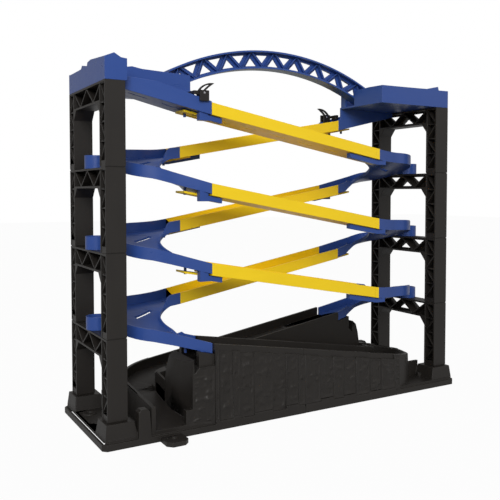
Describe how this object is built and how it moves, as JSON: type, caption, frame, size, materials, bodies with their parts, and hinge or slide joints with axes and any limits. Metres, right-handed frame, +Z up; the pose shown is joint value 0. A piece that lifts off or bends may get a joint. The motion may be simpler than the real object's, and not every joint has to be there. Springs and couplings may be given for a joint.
{
  "type": "toy race track",
  "caption": "Free-standing multi-level toy car track: lattice towers carry crossing channels and U-turns, with start decks joined by an arch truss, over a rock-sided ramp base.",
  "frame": {"origin": "centre of the underside of the base, on the table", "axes": "+X along the track from the left tower to the right tower as pictured, +Y away from the viewer, +Z up"},
  "size_m": [0.56, 0.22, 0.4955],
  "materials": {
    "blue_plastic": "moulded, satin to gloss",
    "yellow_plastic": "moulded, satin to gloss",
    "black_plastic": "moulded, fine-grained",
    "steel": "zinc-plated"
  },
  "bodies": {
    "track": {"base_left": "black_plastic", "base_right": "black_plastic", "base_screws": "steel", "tower_left_1": "black_plastic", "tower_left_2": "black_plastic", "tower_left_3": "black_plastic", "tower_left_4": "black_plastic", "tower_right_1": "black_plastic", "tower_right_2": "black_plastic", "tower_right_3": "black_plastic", "tower_right_4": "black_plastic", "turn_left_1": "blue_plastic", "turn_left_2": "blue_plastic", "turn_left_3": "blue_plastic", "turn_right_1": "blue_plastic", "turn_right_2": "blue_plastic", "turn_right_3": "blue_plastic", "straight_front_1": "yellow_plastic", "straight_front_2": "yellow_plastic", "straight_front_3": "yellow_plastic", "straight_rear_1": "yellow_plastic", "straight_rear_2": "yellow_plastic", "straight_rear_3": "yellow_plastic", "deck_left": "blue_plastic", "deck_right": "blue_plastic", "arch": "blue_plastic", "lever_bracket_left": "black_plastic", "lever_bracket_right": "black_plastic", "lever_pin_left": "steel", "lever_pin_right": "steel"},
    "left_lever": {"lever_left": "black_plastic"},
    "right_lever": {"lever_right": "black_plastic"}
  },
  "joints": [
    {"name": "left_lever_tip", "type": "hinge", "parent": "track", "child": "left_lever", "pos_m": [-0.146, -0.0718, 0.419], "axis": [0, 1, 0], "range_deg": [0, 25]},
    {"name": "right_lever_tip", "type": "hinge", "parent": "track", "child": "right_lever", "pos_m": [0.146, 0.0718, 0.419], "axis": [0, -1, 0], "range_deg": [0, 25]}
  ]
}
